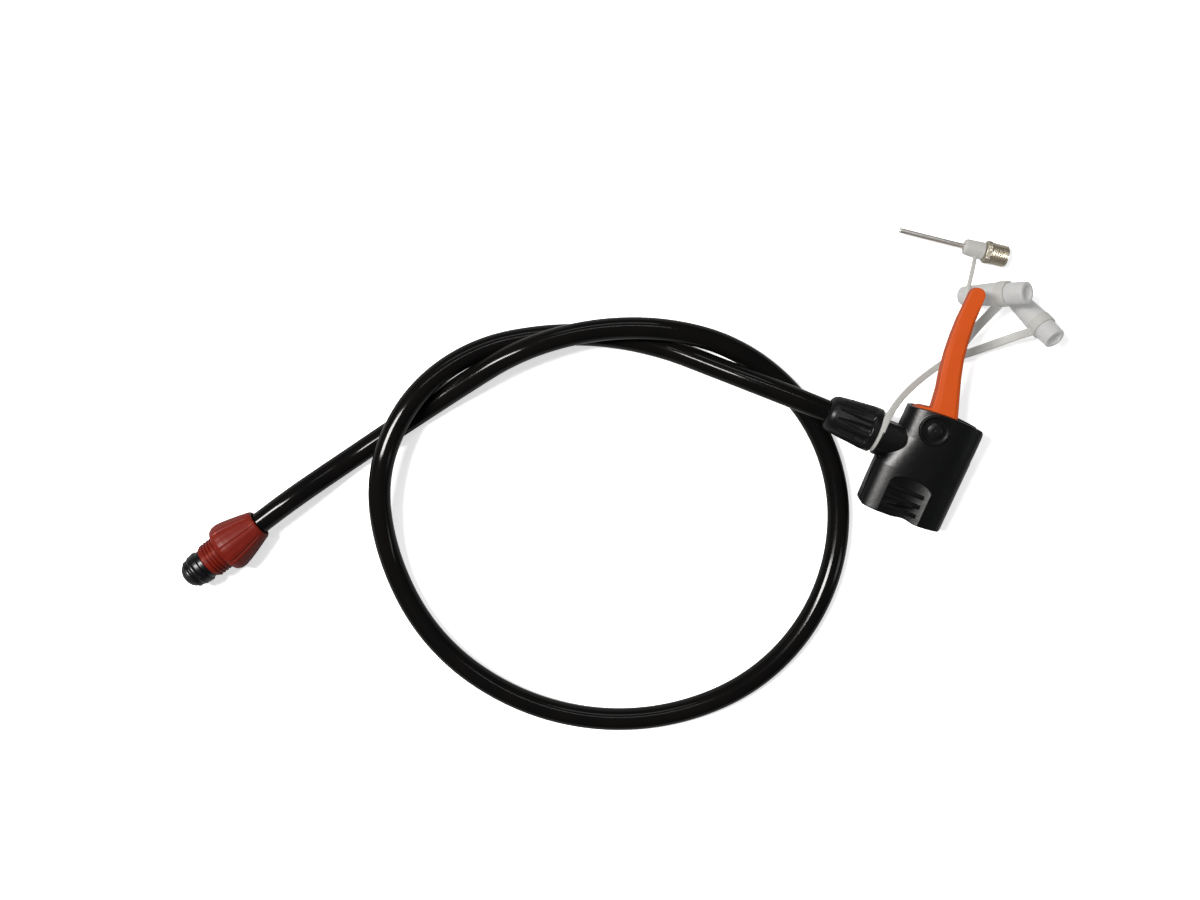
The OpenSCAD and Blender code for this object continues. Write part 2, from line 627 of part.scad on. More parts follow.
// Tapered nozzle: cone, groove for the tether's ring, plain rear end
module nozzle(length, seat) {
    groove_start = seat - seat_half - 0.06;
    groove_end = seat + seat_half + 0.06;
    difference() {
        turn_x([[0, nozzle_tip_bore_r], [0, nozzle_tip_r - 0.7], [0.35, nozzle_tip_r - 0.2],
            [0.9, nozzle_tip_r], [seat - seat_half - 0.5, 4.25], [groove_start, 4.2],
            [groove_start, groove_r], [groove_end, groove_r], [groove_end, nozzle_r],
            [length - 0.3, nozzle_r], [length, nozzle_r - 0.25], [length, nozzle_tip_bore_r]]);
        rod_x(-1, length + 1, nozzle_tip_bore_r);
        rod_x(length - 9, length + 1, nozzle_bore_r);
    }
}
module nozzle_a() color("#dcdcd6") at_nozzle_a() nozzle(nozzle_a_len, nozzle_a_seat);
module nozzle_b() color("#dcdcd6") at_nozzle_b() nozzle(nozzle_b_len, nozzle_b_seat);

tube_end = needle_len - 3;
module needle_tube() color("#b9b4aa") at_needle() difference() {
    turn_x([[0, needle_bore_r], [0, 0.8], [0.2, needle_r], [tube_end, needle_r],
        [tube_end, needle_bore_r]]);
    rod_x(-1, needle_len, needle_bore_r);
}

// Flange, neck and plain threaded end round the tube
module needle_base() color("#a39b8c") at_needle() difference() {
    union() {
        turn_x([[31.1, needle_r], [31.1, 3.7], [31.4, needle_flange_r], [33, needle_flange_r],
            [33.3, 3.7], [33.3, needle_r]]);
        rod_x(33, 33.8, 3.4);
        turn_x([[33.6, needle_r], [33.6, needle_thread_r], [needle_len - 0.5, needle_thread_r],
            [needle_len, needle_thread_r - 0.45], [needle_len, needle_r]]);
    }
    rod_x(30, 38, needle_r);
    rod_x(needle_len - 3.2, 45, 1.6);
}

hose();
pump_nut();
pump_plug();
plug_oring_front();
plug_oring_rear();
pump_ferrule();
collar_nut();
hose_nipple();
head_body();
gland_cap();
valve_gland();
gland_washer();
plunger();
plunger_oring();
core_pin();
lever();
pivot_pin();
pivot_retainer();
tether();
nozzle_a();
nozzle_b();
needle_tube();
needle_base();
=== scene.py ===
# A floor pump hose with a lever-lock valve head, and three adapters on a tether.
# Everything lies on the floor (Z = 0, +Z up). The hose starts at the pump nut on the -X side
# and runs clockwise, seen from above, through more than one turn to the valve head. The tether
# leads from the head to two nozzles and a ball needle on the +X side.
# The scene is in metres. Design numbers are in millimetres and angles in degrees.
import bpy
import bmesh
import math
import numpy as np
from mathutils import Matrix, Vector


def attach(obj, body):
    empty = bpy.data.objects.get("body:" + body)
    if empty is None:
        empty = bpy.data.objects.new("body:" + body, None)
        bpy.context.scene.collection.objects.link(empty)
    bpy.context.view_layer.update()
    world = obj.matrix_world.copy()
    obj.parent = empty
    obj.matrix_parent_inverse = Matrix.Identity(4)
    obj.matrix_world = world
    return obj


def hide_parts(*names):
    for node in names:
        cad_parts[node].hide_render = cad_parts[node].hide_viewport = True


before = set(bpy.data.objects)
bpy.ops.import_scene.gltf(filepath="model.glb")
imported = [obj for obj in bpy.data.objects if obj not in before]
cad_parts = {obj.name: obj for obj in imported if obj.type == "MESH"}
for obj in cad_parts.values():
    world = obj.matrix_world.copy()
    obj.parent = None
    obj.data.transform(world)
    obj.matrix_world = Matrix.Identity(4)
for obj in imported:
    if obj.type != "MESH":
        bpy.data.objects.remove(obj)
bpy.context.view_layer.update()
MM = 0.001

# ------------------------------------------------------------------ hose run
SHIFT = np.array([-6.867, 10.282, 0.0])     # moves the layout below onto the CAD part
RUN_START = (-119.83, -25.42, 37.3)         # x, y, heading
# arcs of the hose in plan: length, turn (negative is clockwise)
RUNS = [(97, -6.7), (77, -43.8), (89, -78.1), (81, -65), (94, -60.3), (68, -50.6),
        (82.5, -81.5), (64.5, -33.7), (53.5, 0.4)]
RUN_TOTAL = sum(length for length, _ in RUNS)
Z_LOW, Z_HIGH, Z_PUMP = 4.1, 12.9, 9.0      # hose centre on the floor, raised, and at the pump nut
# distance along the hose, height of its centre
LEVELS = [(-100, Z_PUMP), (8, Z_PUMP), (44, Z_LOW), (63, Z_LOW), (116, Z_HIGH), (151, Z_HIGH),
          (215, Z_LOW), (474, Z_LOW), (525, Z_HIGH), (541, Z_HIGH), (596, Z_LOW), (632, Z_LOW),
          (695, Z_HIGH), (RUN_TOTAL + 100, Z_HIGH)]


def bend(pose, length, turn):
    """Moves a pose (x, y, heading) along an arc."""
    heading = math.radians(pose[2] + turn / 2)
    half_turn = math.radians(turn / 2)
    chord = length if abs(turn) < 0.01 else length * math.sin(half_turn) / half_turn
    return (pose[0] + chord * math.cos(heading), pose[1] + chord * math.sin(heading),
            pose[2] + turn)


ARC_STARTS = [RUN_START]
for _length, _turn in RUNS:
    ARC_STARTS.append(bend(ARC_STARTS[-1], _length, _turn))


def plan_at(distance):
    """The pose of the hose in plan. Both ends carry on straight."""
    if distance < 0:
        return bend(RUN_START, distance, 0)
    for start, (length, turn) in zip(ARC_STARTS, RUNS):
        if distance <= length:
            return bend(start, distance, turn * distance / length)
        distance -= length
    return bend(ARC_STARTS[-1], distance, 0)


def height_at(distance):
    for (s0, z0), (s1, z1) in zip(LEVELS, LEVELS[1:]):
        if distance <= s1:
            ease = 1 - math.cos(math.pi * (distance - s0) / (s1 - s0))
            return z0 + (z1 - z0) * ease / 2


# ------------------------------------------------------------------ places of the pieces
def turned(axis, degrees):
    return np.array(Matrix.Rotation(math.radians(degrees), 3, axis))


class Place:
    """A local frame in mm: an origin in the layout and a rotation."""
    def __init__(self, origin, rotation):
        self.origin = np.array(origin, float) + SHIFT
        self.rotation = np.array(rotation)

    def to_scene(self, points):
        return self.origin + np.asarray(points, float) @ self.rotation.T

    def to_local(self, points):
        return (points - self.origin) @ self.rotation


NECK = 34.8                             # from the end of the hose run to the head's origin
HEAD_TILT = 11.0
PIVOT = np.array([-1.8, 8.4, 0])        # lever pivot in the head's frame
NOZZLE_RIM = 3.4                        # radius of the nozzle's narrow end
FLOOR_GAP = 0.1


def nozzle_place(x, y, heading, lift):
    """A nozzle with its narrow end by the floor and its wide end lifted."""
    z = NOZZLE_RIM * math.cos(math.radians(lift)) + FLOOR_GAP
    return Place((x, y, z), turned("Z", heading) @ turned("Y", -lift))


_x, _y, _heading = bend(ARC_STARTS[-1], NECK, 0)
# +X runs on from the hose, and the lever leaves its pivot along +Y
HEAD = Place((_x, _y, Z_HIGH), turned("Z", _heading) @ turned("X", HEAD_TILT))
# +X points away from the hose
PUMP = Place((RUN_START[0], RUN_START[1], Z_PUMP), turned("Z", RUN_START[2] + 180))
NEEDLE = Place((107.2, 78.6, 4.1), turned("Z", -14))

# object, CAD node, body, place, length, middle of the tether sleeve along the nozzle
NOZZLES = (
    ("nozzle_long", "nozzle_a", "long_nozzle", nozzle_place(129.8, 55.3, -4.5, 50), 26.3, 17.2),
    ("nozzle_short", "nozzle_b", "short_nozzle", nozzle_place(148.5, 54.9, -59.5, 36), 23.5, 15.8),
)


# ------------------------------------------------------------------ mesh basics
def by_quality(full):
    return full


def link_object(name, mesh):
    obj = bpy.data.objects.new(name, mesh)
    bpy.context.scene.collection.objects.link(obj)
    return obj


def shade_smooth(mesh):
    mesh.polygons.foreach_set("use_smooth", [True] * len(mesh.polygons))


def read_points(mesh):
    points = np.empty(len(mesh.vertices) * 3)
    mesh.vertices.foreach_get("co", points)
    return points.reshape(-1, 3)


def face_corners(mesh):
    return [tuple(polygon.vertices) for polygon in mesh.polygons]


def add_object(name, points, faces, attributes=None):
    """A smooth-shaded object from points in mm, with one value per point for each attribute."""
    mesh = bpy.data.meshes.new(name)
    mesh.from_pydata([tuple(p) for p in np.asarray(points) * MM], [], [tuple(f) for f in faces])
    mesh.update()
    for key, values in (attributes or {}).items():
        layer = mesh.attributes.new(key, "FLOAT", "POINT")
        layer.data.foreach_set("value", np.asarray(values, dtype=np.float32))
    obj = link_object(name, mesh)
    shade_smooth(mesh)
    return obj


def fix_normals(obj):
    bm = bmesh.new()
    bm.from_mesh(obj.data)
    bmesh.ops.recalc_face_normals(bm, faces=bm.faces)
    if bm.calc_volume(signed=True) < 0:
        bmesh.ops.reverse_faces(bm, faces=bm.faces)
    bm.to_mesh(obj.data)
    bm.free()


def copy_node(node, name):
    """A welded copy of a CAD piece, in scene coordinates."""
    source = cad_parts[node]
    to_world = np.array(source.matrix_world)
    points = read_points(source.data) @ to_world[:3, :3].T + to_world[:3, 3]
    mesh = bpy.data.meshes.new(name)
    mesh.from_pydata([tuple(p) for p in points], [], face_corners(source.data))
    mesh.update()
    bm = bmesh.new()
    bm.from_mesh(mesh)
    bmesh.ops.remove_doubles(bm, verts=bm.verts, dist=2e-6)
    bm.to_mesh(mesh)
    bm.free()
    return link_object(name, mesh)


# ------------------------------------------------------------------ lathe
def densify(profile, step):
    """Adds points along a profile so that no step is longer than asked."""
    out = []
    for a, b in zip(profile, profile[1:]):
        count = max(1, int(math.ceil(math.hypot(b[0] - a[0], b[1] - a[1]) / step)))
        for i in range(count):
            out.append((a[0] + (b[0] - a[0]) * i / count, a[1] + (b[1] - a[1]) * i / count))
    out.append(profile[-1])
    return out


def rounded(points, radius, steps=4):
    """Rounds a closed outline's corners. A point may carry its own radius as a third number."""
    out = []
    for i, point in enumerate(points):
        r = point[2] if len(point) > 2 else radius
        corner = np.array(point[:2], float)
        a = np.array(points[i - 1][:2], float) - corner
        b = np.array(points[(i + 1) % len(points)][:2], float) - corner
        len_a, len_b = np.linalg.norm(a), np.linalg.norm(b)
        if r <= 0 or len_a < 1e-6 or len_b < 1e-6:
            out.append(tuple(corner))
            continue
        a, b = a / len_a, b / len_b
        angle = math.acos(max(-1, min(1, float(a @ b))))
        if angle > math.radians(176):       # nearly straight
            out.append(tuple(corner))
            continue
        cut = min(r / math.tan(angle / 2), len_a * 0.45, len_b * 0.45)
        p0, p1 = corner + a * cut, corner + b * cut
        for k in range(steps + 1):
            t = k / steps
            out.append(tuple((1 - t) ** 2 * p0 + 2 * t * (1 - t) * corner + t * t * p1))
    return out


def lathe(name, place, profile, around, corner, step, relief=None, fine=None):
    """Spins a closed profile of (x, radius[, corner radius]) about the local X axis.

    relief(x, radius, angle) gives the changed radius. fine is (x from, x to, step, least
    radius): only the profile inside it is densified, at its own step.
    """
    outline = rounded(profile, corner)
    outline.append(outline[0])
    outline = densify(outline, step)
    if fine:
        x_from, x_to, fine_step, least_radius = fine
        dense = []
        for a, b in zip(outline, outline[1:]):
            inside = x_from <= (a[0] + b[0]) / 2 <= x_to and min(a[1], b[1]) > least_radius
            dense += densify([a, b], fine_step)[:-1] if inside else [a]
        outline = dense
    else:
        outline = outline[:-1]
    rows = len(outline)
    spin = np.arange(around) * 2 * math.pi / around
    x = np.repeat(np.array([p[0] for p in outline])[:, None], around, 1)
    radius = np.repeat(np.array([p[1] for p in outline])[:, None], around, 1)
    angle = np.repeat(spin[None, :], rows, 0)
    if relief is not None:
        radius = relief(x, radius, angle)
    points = np.stack([x, radius * np.sin(angle), radius * np.cos(angle)], -1).reshape(-1, 3)
    i = np.arange(rows)[:, None]
    j = np.arange(around)[None, :]
    i2, j2 = (i + 1) % rows, (j + 1) % around
    corners = (i * around + j, i2 * around + j, i2 * around + j2, i * around + j2)
    faces = np.stack(np.broadcast_arrays(*corners), -1).reshape(-1, 4)
    obj = add_object(name, place.to_scene(points), faces,
                     {"along": points[:, 0], "ang": angle.reshape(-1)})
    fix_normals(obj)
    return obj


def fade(distance, length):
    """Rises from 0 to 1 over a length."""
    return np.clip(distance / length, 0, 1)


def triangle_wave(t):
    t = t - np.floor(t)
    return np.abs(2 * t - 1)


def thread_cut(x, angle, start, pitch, depth, gain, offset, ceiling):
    """Depth of a helical thread. The wave is scaled and clipped, which flattens its peaks."""
    wave = triangle_wave((x - start) / pitch - angle / (2 * math.pi))
    return depth * np.clip(gain * wave - offset, 0, ceiling) / ceiling


# ------------------------------------------------------------------ lines and straps
def line_axes(points):
    """The sideways and upward directions at each point of a line."""
    ahead = np.gradient(points, axis=0)
    ahead /= np.linalg.norm(ahead, axis=1)[:, None]
    side = np.cross(np.array([0, 0, 1.0]), ahead)
    side /= np.linalg.norm(side, axis=1)[:, None]
    return side, np.cross(ahead, side)


def bezier(a, b, c, d, steps):
    a, b, c, d = (np.array(p, float) for p in (a, b, c, d))
    t = np.linspace(0, 1, steps + 1)[:, None]
    u = 1 - t
    return u ** 3 * a + 3 * u * u * t * b + 3 * u * t * t * c + t ** 3 * d


def strap_section(width, thick, steps=4):
    """A rectangle with rounded corners, as (side, up) points."""
    r = thick * 0.42
    x, y = width / 2 - r, thick / 2 - r
    out = []
    for centre_x, centre_y, start in ((x, y, 0), (-x, y, 90), (-x, -y, 180), (x, -y, 270)):
        for i in range(steps + 1):
            a = math.radians(start + 90 * i / steps)
            out.append((centre_x + r * math.cos(a), centre_y + r * math.sin(a)))
    return out


def sweep(line, section):
    """Points and faces of a section carried along a line, with closed ends."""
    side, up = line_axes(line)
    n, m = len(line), len(section)
    points = [line[i] + a * side[i] + b * up[i] for i in range(n) for a, b in section]
    faces = [(i * m + k, (i + 1) * m + k, (i + 1) * m + (k + 1) % m, i * m + (k + 1) % m)
             for i in range(n - 1) for k in range(m)]
    faces += [tuple(range(m)), tuple((n - 1) * m + k for k in reversed(range(m)))]
    return points, faces


# ------------------------------------------------------------------ softening
def apply_modifiers(obj):
    depsgraph = bpy.context.evaluated_depsgraph_get()
    mesh = bpy.data.meshes.new_from_object(obj.evaluated_get(depsgraph))
    old = obj.data
    obj.modifiers.clear()
    obj.data = mesh
    bpy.data.meshes.remove(old)
    shade_smooth(mesh)
    mesh.update()


def soften(obj, voxel, passes):
    """Fuses an object's solids and rounds every edge the way a mould does."""
    fuse = obj.modifiers.new("fuse", "REMESH")
    fuse.mode = "VOXEL"
    fuse.voxel_size = voxel * MM
    fuse.adaptivity = 0.0
    smooth = obj.modifiers.new("round", "SMOOTH")
    smooth.factor = 0.5
    smooth.iterations = passes
    apply_modifiers(obj)
    drop_crumbs(obj)


def drop_crumbs(obj, least=100):
    """Removes the loose bits of few faces a remesh leaves where two walls nearly meet."""
    bm = bmesh.new()
    bm.from_mesh(obj.data)
    bm.faces.ensure_lookup_table()
    seen, crumbs = set(), []
    for start in bm.faces:
        if start.index in seen:
            continue
        seen.add(start.index)
        group, stack = [start], [start]
        while stack:
            for edge in stack.pop().edges:
                for face in edge.link_faces:
                    if face.index not in seen:
                        seen.add(face.index)
                        group.append(face)
                        stack.append(face)
        if len(group) < least:
            crumbs += group
    if crumbs:
        bmesh.ops.delete(bm, geom=crumbs, context="FACES")
        bm.to_mesh(obj.data)
    bm.free()


def smooth_where(obj, place, weight_of, passes):
    """Smooths a surface where weight_of(x, y, z), in the place's frame, is above 0."""
    x, y, z = place.to_local(read_points(obj.data) / MM).T
    weight = np.clip(weight_of(x, y, z), 0, 1)
    group = obj.vertex_groups.new(name="blend")
    for tenth in range(1, 11):
        chosen = np.nonzero(np.round(weight * 10) == tenth)[0]
        if len(chosen):
            group.add([int(i) for i in chosen], tenth / 10, "REPLACE")
    smooth = obj.modifiers.new("blend", "SMOOTH")
    smooth.factor = 0.5
    smooth.iterations = passes
    smooth.vertex_group = "blend"
    apply_modifiers(obj)
    obj.vertex_groups.clear()


# ------------------------------------------------------------------ material builder
def srgb(*channels):
    """Linear RGBA from sRGB values."""
    return tuple((v / 12.92) if v <= 0.04045 else ((v + 0.055) / 1.055) ** 2.4
                 for v in channels) + (1.0,)


class Material:
    """A Principled material with short calls for the nodes that feed it."""
    def __init__(self, name):
        self.data = bpy.data.materials.new(name)
        self.data.use_nodes = True
        self.tree = self.data.node_tree
        self.shader = self.tree.nodes["Principled BSDF"]
        self.coords = self.tree.nodes.new("ShaderNodeTexCoord")

    def node(self, kind, **settings):
        node = self.tree.nodes.new(kind)
        for key, value in settings.items():
            setattr(node, key, value)
        return node

    def feed(self, value, socket):
        """Links an output socket, or sets a plain value."""
        if hasattr(value, "is_linked"):
            self.tree.links.new(value, socket)
        else:
            socket.default_value = value

    def noise(self, scale, detail=3.0, roughness=0.55):
        node = self.node("ShaderNodeTexNoise")
        node.inputs["Scale"].default_value = scale
        node.inputs["Detail"].default_value = detail
        node.inputs["Roughness"].default_value = roughness
        self.feed(self.coords.outputs["Object"], node.inputs["Vector"])
        return node.outputs["Fac"]

    def remap(self, value, to_min, to_max, from_min=0.0, from_max=1.0):
        node = self.node("ShaderNodeMapRange")
        node.inputs["From Min"].default_value = from_min
        node.inputs["From Max"].default_value = from_max
        node.inputs["To Min"].default_value = to_min
        node.inputs["To Max"].default_value = to_max
        self.feed(value, node.inputs["Value"])
        return node.outputs["Result"]

    def mix(self, factor, a, b):
        node = self.node("ShaderNodeMix", data_type="RGBA")
        inputs = {socket.identifier: socket for socket in node.inputs}
        for key, value in (("Factor_Float", factor), ("A_Color", a), ("B_Color", b)):
            self.feed(value, inputs[key])
        return {socket.identifier: socket for socket in node.outputs}["Result_Color"]

    def math(self, operation, *values):
        node = self.node("ShaderNodeMath", operation=operation)
        for value, socket in zip(values, node.inputs):
            self.feed(value, socket)
        return node.outputs[0]

    def ripples(self, attribute, rate):
        """A sine of a mesh attribute."""
        value = self.node("ShaderNodeAttribute", attribute_name=attribute).outputs["Fac"]
        return self.math("SINE", self.math("MULTIPLY", value, rate))

    def painted_edge_highlight(self, base, edge_highlight, low=0.52, high=0.62):
        """Mixes in a painted edge highlight: a lighter colour where pointiness goes from low to
        high.
        """
        geometry = self.node("ShaderNodeNewGeometry")
        edge = self.remap(geometry.outputs["Pointiness"], 0.0, 1.0, from_min=low, from_max=high)
        return self.mix(edge, base, edge_highlight)

    def colour(self, value):
        self.feed(value, self.shader.inputs["Base Color"])

    def roughness(self, value, low, high):
        self.feed(self.remap(value, low, high), self.shader.inputs["Roughness"])

    def bump(self, heights, strength):
        """Chains bumps. heights is a list of (socket, distance in mm)."""
        previous = None
        for height, distance in heights:
            node = self.node("ShaderNodeBump")
            node.inputs["Strength"].default_value = strength
            node.inputs["Distance"].default_value = distance * MM
            self.feed(height, node.inputs["Height"])
            if previous is not None:
                self.feed(previous, node.inputs["Normal"])
            previous = node.outputs["Normal"]
        self.feed(previous, self.shader.inputs["Normal"])

    def set(self, **values):
        for key, value in values.items():
            self.shader.inputs[key.replace("_", " ")].default_value = value


def millimetres(*lengths):
    return tuple(v * MM for v in lengths)


# ------------------------------------------------------------------ materials
def hose_rubber():
    """Black rubber with fine lines along the hose."""
    m = Material("hose_rubber")
    m.colour(m.mix(m.noise(scale=60, detail=2),
                   srgb(0.022, 0.022, 0.024), srgb(0.05, 0.045, 0.04)))
    fine = m.noise(scale=1600)
    m.roughness(m.noise(scale=220), low=0.09, high=0.15)
    lines = m.ripples("ang", rate=46.0)
    m.bump([(fine, 0.002), (lines, 0.0012), (m.noise(scale=90, detail=2), 0.008)], strength=0.4)
    m.set(Specular_IOR_Level=0.11)
    return m.data


def grained_plastic(name, dark, light, rough, grain, depth, specular, edge_highlight=None):
    """Black moulding with a fine grain, slight colour drift and, if asked, a painted highlight on
    its edges.
    """
    m = Material(name)
    base = m.mix(m.noise(scale=120), srgb(*dark), srgb(*light))
    # A lighter colour on convex edges: a painted edge highlight.
    if edge_highlight:
        base = m.painted_edge_highlight(base, srgb(*edge_highlight))
    m.colour(base)
    fine = m.noise(scale=grain, detail=2.5, roughness=0.6)
    m.roughness(m.noise(scale=grain * 0.45, detail=2), *rough)
    m.bump([(fine, depth), (m.noise(scale=grain * 0.3, detail=2), depth * 1.2)], strength=0.75)
    m.set(Specular_IOR_Level=specular)
    return m.data


def red_plastic():
    m = Material("red_moulded")
    base = m.mix(m.noise(scale=150), srgb(0.32, 0.06, 0.03), srgb(0.38, 0.085, 0.045))
    # Convex edges get a lighter red: a painted edge highlight.
    m.colour(m.painted_edge_highlight(base, srgb(0.44, 0.13, 0.075), low=0.51, high=0.6))
    m.roughness(m.noise(scale=500), low=0.36, high=0.5)
    m.bump([(m.noise(scale=1500, detail=2), 0.015), (m.noise(scale=260, detail=2), 0.03)],
           strength=0.5)
    m.set(Subsurface_Weight=0.08, Subsurface_Radius=millimetres(0.8, 0.2, 0.1),
          Specular_IOR_Level=0.18)
    return m.data


def orange_plastic():
    m = Material("orange_moulded")
    base = m.mix(m.noise(scale=110), srgb(0.62, 0.235, 0.045), srgb(0.66, 0.26, 0.06))
    # Convex edges get a lighter orange: a painted edge highlight.
    m.colour(m.painted_edge_highlight(base, srgb(0.80, 0.38, 0.15)))
    m.roughness(m.noise(scale=600), low=0.42, high=0.55)
    m.bump([(m.noise(scale=1900, detail=2.5), 0.022), (m.noise(scale=420, detail=2), 0.02)],
           strength=0.6)
    m.set(Subsurface_Weight=0.05, Subsurface_Radius=millimetres(0.6, 0.2, 0.08),
          Specular_IOR_Level=0.16)
    return m.data


def milky_plastic(name, tone, rough=0.4, rings=None, glow=0.0):
    """Part-clear plastic. The small glow stands for light passed on from the pale floor."""
    m = Material(name)
    m.colour(m.mix(m.noise(scale=180), srgb(*(v * 0.95 for v in tone)), srgb(*tone)))
    m.roughness(m.noise(scale=700), low=rough - 0.07, high=rough + 0.1)
    heights = [(m.noise(scale=1300, detail=2), 0.012), (m.noise(scale=240, detail=2), 0.03)]
    if rings:
        heights.append((m.ripples("along", rate=rings), 0.02))
    m.bump(heights, strength=0.5)
    m.set(Subsurface_Weight=1.0, Subsurface_Radius=millimetres(4.5, 4.5, 4.2),
          Specular_IOR_Level=0.3, Transmission_Weight=0.15, IOR=1.45,
          Emission_Color=tuple(v * v for v in tone) + (1.0,), Emission_Strength=glow)
    return m.data


def metal(name, dark, light, rough, bump=0.001):
    m = Material(name)
    m.colour(m.mix(m.noise(scale=320, detail=4), srgb(*dark), srgb(*light)))
    m.roughness(m.noise(scale=900, detail=4), *rough)
    m.bump([(m.noise(scale=900, detail=2), bump)], strength=0.6)
    m.set(Metallic=1.0)
    return m.data


HOSE_RUBBER = hose_rubber()
# BLACK, COLLAR_BLACK and PLUG_BLACK carry a lighter edge colour: a painted highlight on convex
# edges.
BLACK = grained_plastic("black_grained", dark=(0.014, 0.0145, 0.017), light=(0.03, 0.031, 0.034),
                        rough=(0.28, 0.36), grain=2100, depth=0.04, specular=0.25,
                        edge_highlight=(0.05, 0.05, 0.056))
COLLAR_BLACK = grained_plastic("black_collar", dark=(0.028, 0.028, 0.032),
                               light=(0.05, 0.051, 0.055), rough=(0.3, 0.4), grain=1900,
                               depth=0.01, specular=0.2, edge_highlight=(0.07, 0.07, 0.078))
PLUG_BLACK = grained_plastic("black_plug", dark=(0.022, 0.026, 0.034), light=(0.04, 0.045, 0.055),
                             rough=(0.25, 0.34), grain=1500, depth=0.003, specular=0.26,
                             edge_highlight=(0.08, 0.09, 0.1))
PIN_BLACK = grained_plastic("black_pin", dark=(0.035, 0.035, 0.04), light=(0.055, 0.055, 0.06),
                            rough=(0.24, 0.34), grain=1500, depth=0.006, specular=0.35)
RING_RUBBER = grained_plastic("ring_rubber", dark=(0.035, 0.037, 0.043),
                              light=(0.055, 0.056, 0.062), rough=(0.25, 0.35), grain=1300,
                              depth=0.004, specular=0.35)
RED = red_plastic()
ORANGE = orange_plastic()
TETHER_MILKY = milky_plastic("milky_tether", tone=(0.565, 0.562, 0.55), glow=0.5)
NOZZLE_MILKY = milky_plastic("milky_nozzle", tone=(0.56, 0.56, 0.557), rings=14.0, glow=0.66)
WHITE = milky_plastic("white_bearing_plastic", tone=(0.9, 0.9, 0.87), rough=0.35)
STEEL = metal("steel_tube", dark=(0.88, 0.86, 0.83), light=(0.96, 0.95, 0.93),
              rough=(0.3, 0.38), bump=0.0002)
NICKEL = metal("nickel_plate", dark=(0.72, 0.69, 0.62), light=(0.86, 0.83, 0.77),
               rough=(0.26, 0.38))
BRASS = metal("turned_brass", dark=(0.72, 0.58, 0.32), light=(0.8, 0.68, 0.42),
              rough=(0.22, 0.36))

# CAD pieces that keep their own mesh
PAINTED_NODES = (
    ("pump_ferrule", BRASS), ("hose_nipple", BRASS), ("gland_cap", COLLAR_BLACK),
    ("valve_gland", RING_RUBBER), ("gland_washer", WHITE), ("plunger", WHITE),
    ("plunger_oring", RING_RUBBER), ("core_pin", STEEL), ("pivot_retainer", PIN_BLACK),
)


def carry(obj, body, material, node):
    """Dresses an object and lets it ride a body in place of a CAD node."""
    obj.data.materials.clear()
    obj.data.materials.append(material)
    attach(obj, body)
    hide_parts(node)


def paint_node(node, material):
    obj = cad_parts[node]
    for slot in obj.material_slots:
        slot.material = material
    if not obj.material_slots:
        obj.data.materials.append(material)


# ------------------------------------------------------------------ hose
HOSE_OUTER, HOSE_BORE = 3.9, 2.5        # radii
HOSE_LIP = 0.25                         # step down from the outside at each cut end
HOSE_AROUND = 48
HOSE_STEP = 1.5
BORE_EVERY = 3                          # the bore has a ring at every third station


def build_hose():
    distances = np.arange(-12, RUN_TOTAL + 10.01, HOSE_STEP)
    line = np.array([(*plan_at(float(s))[:2], height_at(float(s))) for s in distances]) + SHIFT
    side, up = line_axes(line)
    points, faces, angles, along = [], [], [], []

    def ring(k, radius):
        first = len(points)
        for j in range(HOSE_AROUND):
            a = 2 * math.pi * j / HOSE_AROUND
            points.append(line[k] + radius * (math.cos(a) * side[k] + math.sin(a) * up[k]))
            angles.append(a)
            along.append(distances[k])
        return list(range(first, first + HOSE_AROUND))

    def join(a, b):
        for j in range(HOSE_AROUND):
            k = (j + 1) % HOSE_AROUND
            faces.append((a[j], b[j], b[k], a[k]))

    last = len(line) - 1
    outer = [ring(k, HOSE_OUTER) for k in range(len(line))]
    start_lip = ring(0, HOSE_OUTER - HOSE_LIP)
    end_lip = ring(last, HOSE_OUTER - HOSE_LIP)
    bore = [ring(k, HOSE_BORE) for k in range(0, len(line), BORE_EVERY)]
    if last % BORE_EVERY:
        bore.append(ring(last, HOSE_BORE))
    for a, b in zip(outer, outer[1:]):
        join(a, b)
    for a, b in zip(bore, bore[1:]):
        join(b, a)
    join(start_lip, outer[0])
    join(bore[0], start_lip)
    join(outer[-1], end_lip)
    join(end_lip, bore[-1])
    obj = add_object("hose_tube", points, faces, {"ang": angles, "along": along})
    fix_normals(obj)
    carry(obj, "hose_and_head", HOSE_RUBBER, "hose")


